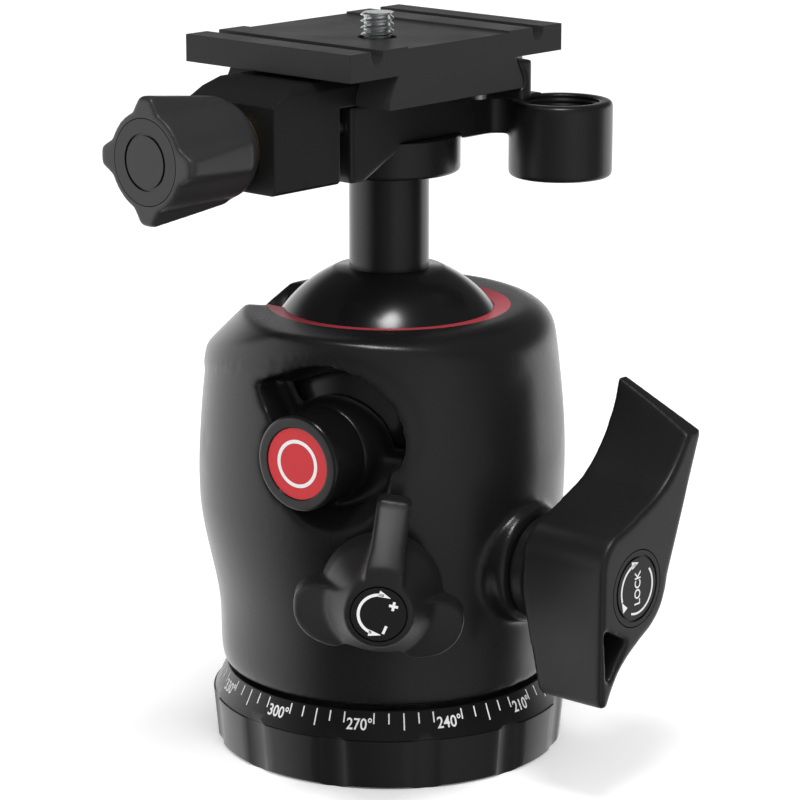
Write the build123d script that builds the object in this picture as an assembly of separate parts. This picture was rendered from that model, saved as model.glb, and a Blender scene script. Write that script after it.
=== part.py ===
"""Tripod ball head with a dovetail quick-release plate, as an assembly of separate pieces.

Millimetres. The origin is the centre of the base's underside, +Z is up, and +X points to the lock
lever's side. An azimuth of 0 faces -Y and an azimuth of 90 faces +X.
"""
from build123d import *
from math import atan, atan2, cos, degrees, radians, sin, sqrt, tan
import os

# ---- clearances -----------------------------------------------------------------------------------
running = 0.08          # radial, a shaft in its bush and the ball in its seats
sliding = 0.10          # between flat faces that move past each other
snug = 0.02             # around pieces that are fixed in their seats
freedom = 0.30          # radial, around a moving piece that only has to stay clear
past = 20.0             # how far a cutter runs on beyond the wall it opens

# ---- panning base ---------------------------------------------------------------------------------
foot_r = 34.5           # underside of the base
rim_r = 35.4            # widest place, under the scale
rim_h = 10.1            # height of the gripped side
hub_r = 30.0            # raised middle that carries the scale ring
scale_h = 5.3           # height of the conical scale ring
scale_top_r = 32.5      # scale ring at its top
flute_count = 12        # shallow flutes round the gripped side
flute_azimuth = 24.5
flute_r = 9.5
flute_depth = 0.6
relief_depth = 1.5      # ring-shaped relief under the base
relief_in_r = 10.0
relief_out_r = 28.0
tripod_thread_r = 4.76  # 3/8 inch
insert_r = 7.0          # steel thread insert
insert_h = 11.4

# ---- pan bearing ----------------------------------------------------------------------------------
spindle_r = 8.0
spindle_flange_r = 13.2
spindle_flange_h = 4.0
spindle_screw_r = 1.25
spindle_screw_head_r = 2.1
spindle_screw_count = 3
spindle_screw_start = 30.0
spindle_screw_floor = 2.0   # base left under the screws' ends, above the relief
glide_t = 0.7           # low-friction washer between base and housing
glide_in_r = 15.0
glide_out_r = 27.0
floor_t = 4.8           # plate that closes the housing's underside
bearing_t = 1.0         # bronze washer under the spindle nut
bearing_r = 14.0
nut_r = 13.0
nut_h = 4.2
nut_slot_w = 3.0

# ---- ball and housing -----------------------------------------------------------------------------
ball_r = 26.1
rim_rise = 16.4         # from the ball's centre to the housing's top face
bore_gap = 0.9          # radial, from the ball to the housing's bore
land_rise = 23.8        # flat on top of the ball, where the neck starts
foot_wall = 5.8         # housing wall at the bottom
belly_wall = 9.35       # housing wall at its widest
crown_wall = 6.0        # housing wall at the top
belly_shift = 1.45      # the belly leans towards the selector's side
belly_azimuth = -47.0
crown_shift = 6.5       # rounding of the top edge is off centre, and leaves one side crisp
crown_azimuth = -72.0
crown_wall_r = 12.1     # radius of the rounding beyond the bore's, at the top face
crown_lean = 4.8        # its side widens downwards by this angle
crown_fillet = 7.5
lip_h = 2.2             # housing above the seat ring
seat_face_w = 3.2       # visible width of the seat ring, outside the ball
seat_h = 5.0
seat_dish = 0.35
floor_ledge = 1.4       # housing wall outside the floor plate
floor_screw_count = 4
floor_screw_start = 56.0
floor_screw_r = 1.25
floor_screw_head_r = 2.1
floor_screw_len = 10.0

# ---- portrait notch -------------------------------------------------------------------------------
neck_r = 7.8
notch_gap = 0.8         # each side of the neck
notch_azimuth = -70.0
notch_flare = 1.4       # the slot widens towards the top face
skirt_shift = 10.3      # the conical flank round the notch is off centre, and fades out behind it
skirt_r = 37.8          # flank's edge on the top face
skirt_slope = 46.0
skirt_h = 13.0

# ---- ball lock: wedge, pressure ring and cup --------------------------------------------------------
cup_h = 12.5
cup_bite = 1.5          # the ball reaches this far down through the cup
ring_t = 2.8            # pressure ring
ring_bore_r = 9.6
ring_out_r = 22.4
wedge_len = 32.0
wedge_w = 14.0
wedge_below = 4.1       # wedge's underside below the lever's axis
wedge_above = 3.2       # wedge's top above the lever's axis, at the middle
wedge_slope = 2.0
wedge_lift_gap = 0.02   # taken up as the wedge is pulled in
wedge_bite = 0.8        # how far the wedge stands up into the ring's channel
bridge_t = 3.7
bridge_w = 20.4
bridge_in = 1.5         # from the bore to the bridge's ends
bridge_top_gap = 0.3

# ---- lock lever -----------------------------------------------------------------------------------
lever_azimuth = 92.5
lever_boss_r = 11.6     # round boss on the housing
lever_boss_rise = 10.7  # from the bore to the boss's face
lever_hub_r = 10.3
lever_hub_gap = 0.3     # between the boss and the hub
lever_stand = 4.3       # from the boss to the inner side of the blade
lever_depth = 18.9      # blade, from its inner side to its outer face
lever_pocket_depth = 9.0
lever_tip = 34.6        # upper finger above the axis, at its inner end
lever_tip_fall = 8.0    # how much lower its outer corner is
lever_toe = 21.5        # lower finger below the axis
lever_cap_r = 7.4
lever_cap_t = 1.5
lever_edge = 0.6
shaft_r = 4.0
shaft_thread_r = 2.0
shaft_collar_r = 4.9
shaft_collar_t = 2.4
shaft_end = 3.0         # threaded end, from the head's axis
bush_wall = 2.4
screw_head_r = 3.5
screw_head_h = 3.0
lever_screw_len = 10.0

# ---- friction knob --------------------------------------------------------------------------------
friction_azimuth = 40.5
friction_drop = 0.2     # axis below the lever's
friction_stand = 11.9   # from the bore to the knob
friction_depth = 15.4   # knob, from its inner end to its face
friction_cap_r = 5.1
friction_bell_r = 11.6
friction_lean = 8.0     # turn of the finger from upright, clockwise
friction_reach = 19.3   # finger's end from the axis
friction_finger_w = 6.6
friction_wing_reach = 16.0
friction_wing_low = 10.1
friction_middle_low = 8.6   # edge between the wings
friction_flat_r = 8.4   # flat part of the finger's front
friction_tip_drop = 9.5  # finger's end behind the front face
friction_crease_r = 10.2    # crease in the wings' front
friction_crease_drop = 6.5
friction_wing_drop = 9.0
friction_bush_len = 9.0
friction_shaft_r = 3.0
friction_cam_r = 1.7
friction_cam_throw = 0.35
friction_cam_end = 15.0

# ---- pan lock knob --------------------------------------------------------------------------------
pan_azimuth = 200.0
pan_stand = 11.0        # from the bore to the knob
pan_depth = 14.0        # knob, from its inner end to its face
pan_bush_len = 7.0
pan_knob_r = 9.5
pan_cap_r = 5.6
pan_flutes = 6
pan_shaft_r = 2.5
pad_t = 5.0
pad_w = 8.0
pad_h = 7.0
pad_gap = 0.15          # between the brake pad and the nut
pad_roof = 0.9          # from the brake pad to the bridge

# ---- selector -------------------------------------------------------------------------------------
selector_azimuth = 7.0
selector_side = 6.2     # sideways from the head's axis, seen along its own axis
selector_drop = 6.8
selector_stand = 11.5   # from the bore to the knob's face
selector_r = 9.3
selector_disc_r = 6.9
selector_disc_t = 0.9
selector_len = 8.9
recess_r = 14.6         # deep recess over and beside the knob
recess_side = 1.8       # its centre from the knob's axis
recess_up = 3.0
recess_run = 21.3       # its upper edge runs on to the left, falling at this angle
recess_end = -1.0       # its lower end beside the knob
wall_side = -10.2       # point of the straight wall that ends it at the left
wall_up = 9.8
wall_turn = 33.5        # that wall leans this far from upright
well_r = 12.3           # round well in which the knob stands
well_side = 1.7
well_up = 1.7
scoop_r = 12.4          # bowl that leads into the well from the lower right
scoop_side = 6.2
scoop_up = -1.2
scoop_out = 38.0
sill_r = 14.9           # sunken band round the recess
sill_side = 4.5
sill_up = 5.2
sill_lean = 13.0        # its upper edge falls away to the left
sill_tilt = 1.6
sill_azimuth = -10.0
sill_step = 1.0         # the band's end above the line it turns about
sill_foot = 50.0        # height where the band fades out
web_t = 2.2             # wall left between the recess and the bore
window_inset = 0.8      # step round the window in that wall
selector_screw_r = 1.5
selector_screw_head_r = 2.75
selector_screw_head_h = 1.8

# ---- neck and clamp -------------------------------------------------------------------------------
neck_len = 19.3         # from the ball's flat to the flange
neck_stub_r = 4.7       # stub that turns in the ball
neck_stub_len = 13.0
flange_r = 13.9
flange_h = 7.2
clamp_w = 21.8          # along the dovetail
slab_t = 8.7            # clamp body above the flange
apron_drop = 5.9        # front of the body below the flange's top
apron_back = -18.6
apron_rise = 1.3        # underside of the body below the flange's top
apron_end = -8.9        # where the front's slope meets that underside
gap_y = -22.4           # clamp body's front face
slab_end = 16.0         # slab's end under the fixed jaw
jaw_gap = 3.0
jaw_depth = 17.4
jaw_drop = 14.2         # jaw's underside below the dovetail's underside
jaw_shoulder = 3.2
rail_foot = 2.5         # fixed jaw below the dovetail's underside
rail_len = 39.0         # fixed jaw, along the dovetail
rail_start = -19.0
rail_back_y = 27.6
rail_h = 5.4
clamp_bolt_r = 3.0
clamp_bolt_head_r = 5.0
clamp_bolt_head_h = 5.0
clamp_bolt_bite = 10.0
clamp_bolt_sink = 0.6
ring_x = 19.7           # accessory ring
ring_y = 28.3
boss_out_r = 10.2
boss_in_r = 7.5
boss_h = 15.0
ring_drop = 3.5         # ring's top below the dovetail's underside
ring_well_gap = 1.5     # fixed jaw's well over the ring, wider than the ring's bore
arm_fillet = 3.0        # where the arm runs into the ring
guide_r = 1.6
guide_spread = 15.0
guide_len = 17.0
guide_drop = 4.2

# ---- clamp knob -----------------------------------------------------------------------------------
knob_drop = 6.2         # knob's axis below the dovetail's underside
knob_len = 21.0
knob_body_r = 9.3
knob_start_r = 10.0     # over the ribs, near the jaw
knob_end_r = 12.0       # over the ribs, at the end
knob_ribs = 4
knob_rib_tip = 1.6      # rib's width at its top
knob_rib_foot = 7.2     # rib's width at the body
knob_cap_r = 7.9
knob_cap_t = 1.4
clamp_screw_r = 3.0
clamp_engagement = 3.5
jaw_travel = 4.5

# ---- quick-release plate --------------------------------------------------------------------------
dovetail_wide = 38.0
dovetail_waist = 33.4
dovetail_y = -2.05
dovetail_foot = 1.8     # straight part at the bottom
dovetail_flare = 4.4    # height of the flared part
dovetail_gap = 0.05
plate_len = 42.8        # along the dovetail
plate_wide = 60.1
plate_x = -1.85
plate_y = -1.7
wing_t = 5.2
groove_w = 3.2
groove_depth = 2.5
groove_inset = 5.6      # outer edge to the groove's near side
pad_rise = 0.35
pad_inset = 15.6
screw_x = 4.5           # camera screw
screw_y = -8.2
camera_thread_r = 3.175  # 1/4 inch
camera_thread_up = 4.8
camera_shank_r = 2.6    # plain shank below the thread, which keeps the screw in its plate
camera_shank_rise = 0.1
camera_head_r = 7.0
camera_head_h = 2.6
screw_hole_gap = 0.6
stop_r = 1.5
stop_inset = 3.6
stop_side = 10.0        # from the dovetail's middle
stop_hang = 1.4
stop_len = 5.4

# ---- worked-out heights, from the foot up ------------------------------------------------------------
base_top = rim_h + scale_h
floor_low = base_top + glide_t + sliding
floor_top = floor_low + floor_t
bearing_low = floor_top + sliding
nut_low = bearing_low + bearing_t
nut_top = nut_low + nut_h
pan_z = nut_top + pad_gap + pad_h / 2
bridge_low = pan_z + pad_h / 2 + pad_roof
bridge_top = bridge_low + bridge_t
spindle_top = bridge_low - bridge_top_gap
wedge_low = bridge_top + sliding / 2
lever_z = wedge_low + wedge_below
friction_z = lever_z - friction_drop
ring_low = lever_z + wedge_above - wedge_bite
ring_high = ring_low + ring_t
cup_low = ring_high + sliding
ball_z = cup_low + ball_r - cup_bite
selector_z = ball_z - selector_drop
rim_z = ball_z + rim_rise
lip_z = rim_z - lip_h
land_z = ball_z + land_rise
flange_low = land_z + neck_len
flange_top = flange_low + flange_h
rail_z = flange_top + slab_t            # face that carries the dovetail
ring_top = rail_z - ring_drop
knob_z = rail_z - knob_drop
plate_low = rail_z + dovetail_gap
wing_low = plate_low + dovetail_foot + dovetail_flare
plate_top = wing_low + wing_t

# ---- worked-out radii and lengths ------------------------------------------------------------------
bore_r = ball_r + bore_gap
seat_in_r = sqrt((ball_r + running) ** 2 - (rim_rise - seat_dish) ** 2)
seat_lip_r = seat_in_r + seat_face_w
floor_r = bore_r + foot_wall - floor_ledge
floor_pitch = floor_r - floor_screw_head_r - freedom
lever_boss_face = bore_r + lever_boss_rise
lever_hub_back = lever_boss_face + lever_hub_gap
lever_back = lever_boss_face + lever_stand
lever_face = lever_back + lever_depth
friction_back = bore_r + friction_stand
friction_face = friction_back + friction_depth
pan_back = bore_r + pan_stand
pan_face = pan_back + pan_depth
selector_face = bore_r + selector_stand
jaw_front = gap_y - jaw_gap - jaw_depth
clamp_screw_reach = jaw_travel + clamp_engagement

BOTTOM = (Align.CENTER, Align.CENTER, Align.MIN)
nodes = {}


def disc(radius, low, high, bore=0.0):
    """A round plate about the head's axis, or a ring if it has a bore."""
    solid = Pos(0, 0, low) * Cylinder(radius, high - low, align=BOTTOM)
    if bore > 0:
        solid -= Pos(0, 0, low) * Cylinder(bore, high - low, align=BOTTOM)
    return solid


def block(x0, x1, y0, y1, z0, z1):
    """A box between six planes."""
    return Pos((x0 + x1) / 2, (y0 + y1) / 2, (z0 + z1) / 2) * Box(x1 - x0, y1 - y0, z1 - z0)


def facing(azimuth, height, side=0.0):
    """A frame for a control: x to the right, y up and z straight out of the housing."""
    a = radians(azimuth)
    right = Vector(cos(a), sin(a), 0)
    return Plane(origin=right * side + Vector(0, 0, height), x_dir=right, z_dir=(sin(a), -cos(a), 0))


def turned(radius, start, end, x=0.0, y=0.0):
    """A cylinder along z of a control's frame."""
    return Pos(x, y, start) * Cylinder(radius, end - start, align=BOTTOM)


def tapered(r_start, r_end, start, end):
    """A cone frustum along z of a control's frame."""
    return Pos(0, 0, start) * Cone(r_start, r_end, end - start, align=BOTTOM)


def countersunk(radius, head_r, low, high):
    """A flat-head screw about z, its head flush with the higher end."""
    return turned(radius, low, high) + tapered(radius, head_r, high - (head_r - radius), high)


def profile(points, plane, amount, both=False):
    """An extruded polygon."""
    return extrude(plane * make_face(Polyline(*points, close=True)), amount, both=both)


def ring_of(shape, count, radius, start=0.0):
    """Copies of a shape about the head's axis, with its frame's own origin at the radius."""
    copies = []
    for index in range(count):
        copies.append(Rot(0, 0, start + 360.0 * index / count) * Pos(radius, 0, 0) * shape)
    return copies


def joined(shapes):
    """One solid from overlapping shapes."""
    total = shapes[0]
    for shape in shapes[1:]:
        total += shape
    return total


# ---- base -----------------------------------------------------------------------------------------
def make_base():
    side = tapered(foot_r, rim_r, 0, rim_h)
    side = chamfer(side.edges().group_by(Axis.Z)[0], 0.5)
    lean = degrees(atan((rim_r - foot_r) / rim_h))
    flute = Pos(flute_r - flute_depth, 0, rim_h) * Rot(0, lean, 0) * Cylinder(flute_r, 3 * rim_h)
    flutes = ring_of(flute, flute_count, rim_r, flute_azimuth - 90)
    side -= flutes
    plate = side + disc(hub_r, rim_h, base_top)
    plate -= disc(relief_out_r, 0, relief_depth, relief_in_r)
    plate -= disc(insert_r + snug, 0, insert_h)
    plate -= disc(spindle_flange_r + snug, base_top - spindle_flange_h, base_top)
    pitch_r = (spindle_flange_r + spindle_r) / 2
    screw_low = relief_depth + spindle_screw_floor
    hole = turned(spindle_screw_r + snug, screw_low, base_top)
    plate -= ring_of(hole, spindle_screw_count, pitch_r, spindle_screw_start)
    nodes["base_plate"] = plate
    nodes["thread_insert"] = disc(insert_r, 0, min(insert_h, base_top - spindle_flange_h), tripod_thread_r)
    scale = Pos(0, 0, rim_h) * Cone(rim_r - 0.25, scale_top_r, scale_h, align=BOTTOM)
    nodes["scale_ring"] = scale - disc(hub_r + snug, rim_h, base_top) - flutes
    flange = disc(spindle_flange_r, base_top - spindle_flange_h, base_top)
    spindle = flange + disc(spindle_r, base_top, spindle_top)
    spindle = chamfer(spindle.edges().group_by(Axis.Z)[-1], 0.6)
    screw = countersunk(spindle_screw_r, spindle_screw_head_r, screw_low, base_top)
    sink = countersunk(spindle_screw_r + snug, spindle_screw_head_r + snug, screw_low, base_top)
    nodes["pan_spindle"] = spindle - ring_of(sink, spindle_screw_count, pitch_r, spindle_screw_start)
    nodes["spindle_screws"] = ring_of(screw, spindle_screw_count, pitch_r, spindle_screw_start)
    nodes["glide_washer"] = disc(glide_out_r, base_top, base_top + glide_t, glide_in_r)
    nodes["bearing_washer"] = disc(bearing_r, bearing_low, nut_low, spindle_r + snug)
    nut = disc(nut_r, nut_low, nut_top, spindle_r + snug)
    slot = block(-nut_r, nut_r, -nut_slot_w / 2, nut_slot_w / 2, nut_top - 1.5, nut_top)
    nodes["spindle_nut"] = nut - slot - Rot(0, 0, 90) * slot


# ---- housing --------------------------------------------------------------------------------------
def barrel():
    """The cast outer shape: a barrel whose belly leans to one side, with an off-centre rounded top."""
    lean = Vector(sin(radians(belly_azimuth)), -cos(radians(belly_azimuth)), 0)
    height = rim_z - floor_low
    swell = belly_wall - foot_wall
    taper = belly_wall - crown_wall
    stations = (
        (0.00, foot_wall, 0.00),
        (0.16, foot_wall + 0.22 * swell, 0.15),
        (0.28, foot_wall + 0.50 * swell, 0.40),
        (0.44, foot_wall + 0.90 * swell, 0.95),
        (0.59, belly_wall, 1.00),
        (0.72, belly_wall - 0.12 * taper, 1.00),
        (0.88, belly_wall - 0.50 * taper, 0.95),
        (1.00, crown_wall, 0.90),
    )
    sections = []
    for rise, wall, share in stations:
        centre = lean * (belly_shift * share) + Vector(0, 0, floor_low + rise * height)
        sections.append(Plane(origin=centre, z_dir=(0, 0, 1)) * Circle(bore_r + wall))
    body = loft(sections)
    c = radians(crown_azimuth)
    crown_r = bore_r + crown_wall_r
    crown = Pos(crown_shift * sin(c), -crown_shift * cos(c), floor_low) * Cone(
        crown_r + height * tan(radians(crown_lean)), crown_r, height, align=BOTTOM)
    crown = fillet(crown.edges().group_by(Axis.Z)[-1], crown_fillet)
    return body & crown


def skirt_cut():
    """What the conical flank round the portrait notch takes off the barrel's top edge."""
    low = rim_z - skirt_h
    spread = skirt_h / tan(radians(skirt_slope))
    flank_cone = Pos(skirt_shift, 0, low) * Cone(skirt_r + spread, skirt_r, skirt_h, align=BOTTOM)
    return disc(2 * bore_r, low, rim_z) - Rot(0, 0, notch_azimuth + 90) * flank_cone


def notch(half_width):
    """The portrait notch: a slot with a round bottom and a flared mouth, open upwards and outwards."""
    reach = bore_r + belly_wall + 12
    slot = block(-reach, -ball_r * 0.5, -half_width, half_width, ball_z, rim_z + 6)
    floor = Plane(origin=(-reach, 0, ball_z), z_dir=(1, 0, 0))
    slot += extrude(floor * Circle(half_width), reach - ball_r * 0.5)
    wide = half_width + notch_flare
    mouth = [(-wide, rim_z), (wide, rim_z), (half_width, rim_z - 3 * notch_flare)]
    mouth += [(-half_width, rim_z - 3 * notch_flare)]
    end = Plane(origin=(-ball_r * 0.5, 0, 0), x_dir=(0, 1, 0), z_dir=(1, 0, 0))
    slot += profile(mouth, end, -reach)
    return Rot(0, 0, notch_azimuth + 90) * slot


def beyond_wall(inset):
    """What lies left of the straight wall at the recess's left."""
    far = 3 * past
    return Pos(wall_side, wall_up, 0) * Rot(0, 0, wall_turn) * block(-far, inset, -far, far, 0, far)


def recess_area(inset):
    """The deep recess along the selector's axis: round, with a straight wall at its left."""
    far = 3 * past
    reach = selector_face + past
    area = turned(recess_r - inset, 4, reach, recess_side, recess_up)
    run = Rot(0, 0, recess_run) * block(-recess_r, 0, 0, recess_r - inset, 4, reach)
    area += Pos(recess_side, recess_up, 0) * run
    area -= block(-far, far, -far, recess_end + inset, 0, far)
    return area - beyond_wall(inset)


def recess_cut():
    """The recess, the knob's well and the bowl that leads into it, all down to a thin wall."""
    view = facing(selector_azimuth, selector_z, selector_side)
    well = turned(well_r, 4, selector_face + past, well_side, well_up) - beyond_wall(0.0)
    well += turned(selector_r + freedom, 4, selector_face + past)
    bowl = Pos(scoop_side, scoop_up, scoop_out) * Sphere(scoop_r)
    bowl -= block(-past, past, recess_end, past, 0, selector_face + past)
    collar = turned(selector_r, 4, selector_face - selector_len - sliding)
    core = disc(bore_r + web_t, 0, rim_z)
    return (view * (recess_area(0.0) + well + bowl)) - core - view * collar


def window_cut():
    """The window through that thin wall, all round the knob's upper right."""
    view = facing(selector_azimuth, selector_z, selector_side)
    return view * (recess_area(window_inset) - turned(selector_r + 2 * freedom, 0, selector_face + past))


def sill_cut():
    """A sunken band over the recess, which runs out to the left and fades towards the foot."""
    view = facing(selector_azimuth, selector_z, selector_side)
    lean = radians(sill_lean)
    low = sill_foot + sill_step - selector_z
    turn = (sill_side - sill_r * sin(lean), sill_up + sill_r * cos(lean))
    far = (turn[0] - 60 * cos(lean), turn[1] - 60 * sin(lean))
    shadow = [turn, far, (far[0], low), (sill_side, low), (sill_side, sill_up)]
    region = profile(shadow, Plane.XY, 60) + turned(sill_r, 0, 60, sill_side, sill_up)
    tip = Rot(0, 0, sill_azimuth) * Rot(-sill_tilt, 0, 0) * Rot(0, 0, -sill_azimuth)
    tipped = Pos(0, 0, sill_foot) * tip * Pos(0, 0, -sill_foot) * barrel()
    return view * region - tipped


def make_housing():
    shell = barrel()
    lever_view = facing(lever_azimuth, lever_z)
    boss = turned(lever_boss_r, bore_r + 2, lever_boss_face)
    boss = fillet(boss.edges().group_by(Axis.Z)[-1], 1.0)
    shell += lever_view * boss
    shell -= skirt_cut()
    shell -= disc(bore_r, floor_low, lip_z)
    shell -= disc(floor_r, floor_low, floor_top + snug)
    shell -= disc(seat_lip_r + snug, lip_z, rim_z)
    shell -= notch(neck_r + notch_gap)
    shell -= sill_cut()
    shell -= recess_cut()
    shell -= window_cut()
    shell -= lever_view * turned(shaft_r + bush_wall + snug, bore_r - 4, lever_boss_face + 1)
    friction_view = facing(friction_azimuth, friction_z)
    shell -= friction_view * turned(friction_shaft_r + bush_wall + snug, bore_r - 4, bore_r + past)
    pan_view = facing(pan_azimuth, pan_z)
    shell -= pan_view * turned(pan_shaft_r + bush_wall + snug, bore_r - 4, bore_r + past)
    pivot = facing(selector_azimuth, selector_z, selector_side)
    shell -= pivot * turned(selector_screw_r + snug, 8, selector_face)
    hole = turned(floor_screw_r + snug, floor_low, floor_low + floor_screw_len)
    shell -= ring_of(hole, floor_screw_count, floor_pitch, floor_screw_start)
    nodes["housing"] = shell

    plate = disc(floor_r - snug, floor_low, floor_top, spindle_r + running)
    screw = Rot(180, 0, 0) * countersunk(
        floor_screw_r, floor_screw_head_r, -floor_low - floor_screw_len, -floor_low)
    sink = Rot(180, 0, 0) * countersunk(
        floor_screw_r + snug, floor_screw_head_r + snug, -floor_low - floor_screw_len, -floor_low)
    nodes["floor_plate"] = plate - ring_of(sink, floor_screw_count, floor_pitch, floor_screw_start)
    nodes["floor_screws"] = ring_of(screw, floor_screw_count, floor_pitch, floor_screw_start)

    seat = disc(bore_r - snug, lip_z - (seat_h - lip_h), lip_z) + disc(seat_lip_r, lip_z, rim_z)
    dish = Pos(0, 0, rim_z - seat_dish) * Cone(seat_in_r, seat_lip_r, seat_dish, align=BOTTOM)
    seat -= dish
    seat -= Pos(0, 0, ball_z) * Sphere(ball_r + running)
    nodes["seat_ring"] = seat - notch(neck_r + notch_gap)


# ---- ball lock ------------------------------------------------------------------------------------
def wedge_prism(half_width, half_len, grow):
    """The wedge's slope, thicker away from the lever, in the lever's frame."""
    top = wedge_above + grow
    fall = tan(radians(wedge_slope)) * half_len
    points = [(-half_len, top + fall), (half_len, top - fall)]
    points += [(half_len, -wedge_below), (-half_len, -wedge_below)]
    side = Plane(origin=(0, 0, 0), x_dir=(0, 0, 1), z_dir=(-1, 0, 0))
    return profile(points, side, half_width, both=True)


def make_lock():
    view = facing(lever_azimuth, lever_z)
    wedge = wedge_prism(wedge_w / 2, wedge_len / 2, 0)
    wedge -= turned(shaft_thread_r + running, 0, wedge_len)
    nodes["lock_wedge"] = view * wedge
    ring = disc(ring_out_r, ring_low, ring_high, ring_bore_r)
    nodes["pressure_ring"] = ring - view * wedge_prism(wedge_w / 2 + freedom, bore_r + 2, wedge_lift_gap)

    half = bore_r - bridge_in
    rail_top = ring_low - lever_z - 0.2
    low = bridge_low - lever_z
    reach = sqrt(half ** 2 - (bridge_w / 2) ** 2)
    bridge = Box(bridge_w, rail_top - low, 2 * reach, align=(Align.CENTER, Align.MIN, Align.CENTER))
    bridge = Pos(0, low, 0) * bridge
    channel = Box(wedge_w + 2 * sliding, rail_top - bridge_top + lever_z + 5, 2 * reach + 2,
                  align=(Align.CENTER, Align.MIN, Align.CENTER))
    bridge -= Pos(0, bridge_top - lever_z, 0) * channel
    leg_low = floor_top - lever_z
    leg_in = bearing_r + freedom
    for side in (-1, 1):
        leg = Box(bridge_w, low - leg_low, reach - leg_in, align=(Align.CENTER, Align.MIN, Align.CENTER))
        bridge += Pos(0, leg_low, side * (reach + leg_in) / 2) * leg
    bridge -= turned(shaft_collar_r + freedom, 0, bore_r + 2)
    nodes["wedge_bridge"] = view * bridge

    cup = disc(bore_r - freedom, cup_low, cup_low + cup_h) - Pos(0, 0, ball_z) * Sphere(ball_r + running)
    cup -= disc(ring_bore_r + 0.6, cup_low, cup_low + cup_h / 2)
    nodes["ball_cup"] = cup
    ball = Pos(0, 0, ball_z) * Sphere(ball_r)
    ball -= disc(ball_r, land_z, ball_z + ball_r + 1)
    ball -= disc(neck_stub_r + running, land_z - neck_stub_len - 1, land_z)
    nodes["ball"] = ball


# ---- lock lever -----------------------------------------------------------------------------------
def lever_outline():
    """The S-shaped lever, seen from outside: a finger up and to the right, a shorter one down."""
    left = -lever_hub_r - 0.6
    toe = -lever_toe
    tip = lever_tip + 1.0
    edges = [
        Line((left + 0.8, toe), (left, toe + 1.6)),
        Line((left, toe + 1.6), (left, 5.0)),
        ThreePointArc((left, 5.0), (left + 1.6, 9.4), (left + 5.6, 11.8)),
        Spline((left + 5.6, 11.8), (1.5, 14.4), (8.6, 18.0), (13.6, 23.2), (17.4, 29.6), (19.0, tip),
               tangents=((1, 0.28), (0.24, 1))),
        Line((19.0, tip), (21.4, tip)),
        Line((21.4, tip), (20.6, 27.0)),
        Line((20.6, 27.0), (10.4, 0.0)),
        ThreePointArc((10.4, 0.0), (8.4, -5.6), (3.4, -9.9)),
        Spline((3.4, -9.9), (-2.2, -13.2), (-6.2, -17.2), (-8.6, toe), tangents=((-1, -0.55), (-0.42, -1))),
        Line((-8.6, toe), (left + 0.8, toe)),
    ]
    return make_face(Wire(edges))


def make_lever():
    view = facing(lever_azimuth, lever_z)
    blade = extrude(Plane(origin=(0, 0, lever_back)) * lever_outline(), lever_face - lever_back)
    tip = lever_tip + 4
    slope = [(lever_back, lever_tip), (lever_face, lever_tip - lever_tip_fall)]
    slope += [(lever_face + 1, tip), (lever_back - 1, tip)]
    side = Plane(origin=(0, 0, 0), x_dir=(0, 0, 1), z_dir=(-1, 0, 0))
    blade -= profile(slope, side, 40, both=True)
    toe = -lever_toe - 1
    heel = [(lever_back - 1, -3.0), (lever_back, -3.0), (lever_back + 4.4, toe), (lever_back - 1, toe)]
    blade -= profile(heel, side, 40, both=True)
    rim = blade.faces().sort_by(Axis.Z)[-1].edges()
    blade = fillet(rim, lever_edge)
    pocket = Polyline((-10.0, -5.8), (-2.9, -9.8), (-8.9, -17.4), close=True)
    pocket = fillet(pocket.vertices(), 0.7)
    blade -= Pos(0, 0, lever_face - lever_pocket_depth) * extrude(make_face(pocket), lever_pocket_depth + 1)
    hub = turned(lever_hub_r, lever_hub_back, lever_back + 2)
    hub = fillet(hub.edges().group_by(Axis.Z)[0], 0.8)
    blade += hub
    blade -= turned(lever_cap_r + 0.15, lever_face - lever_cap_t - 0.2, lever_face + 1)
    head_seat = lever_face - lever_cap_t - 0.3 - screw_head_h
    blade -= turned(screw_head_r + 0.3, head_seat, lever_face)
    blade -= turned(shaft_r + snug, lever_hub_back - 1, head_seat)
    nodes["lock_lever"] = view * blade
    collar_end = bore_r - sliding
    shaft = turned(shaft_r, collar_end - 1.0, head_seat)
    shaft += turned(shaft_collar_r, collar_end - shaft_collar_t, collar_end)
    shaft += turned(shaft_thread_r, shaft_end, collar_end - 1.0)
    shaft -= turned(shaft_thread_r + snug, head_seat - lever_screw_len, head_seat)
    nodes["lock_shaft"] = view * shaft
    screw = turned(shaft_thread_r, head_seat - lever_screw_len, head_seat + 0.5)
    head = turned(screw_head_r, head_seat, head_seat + screw_head_h)
    socket = Pos(0, 0, head_seat + 1.2) * extrude(RegularPolygon(1.5, 6), screw_head_h)
    nodes["lever_screw"] = view * (screw + head - socket)
    cap = turned(lever_cap_r, lever_face - lever_cap_t, lever_face)
    groove = turned(lever_cap_r - 0.9, lever_face - 0.3, lever_face + 1)
    groove -= turned(lever_cap_r - 1.4, lever_face - 0.3, lever_face + 1)
    nodes["lever_cap"] = view * (cap - groove)
    bush = turned(shaft_r + bush_wall, bore_r, lever_boss_face)
    nodes["lever_bush"] = view * (bush - turned(shaft_r + running, bore_r - 2, lever_boss_face + 1))


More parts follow.
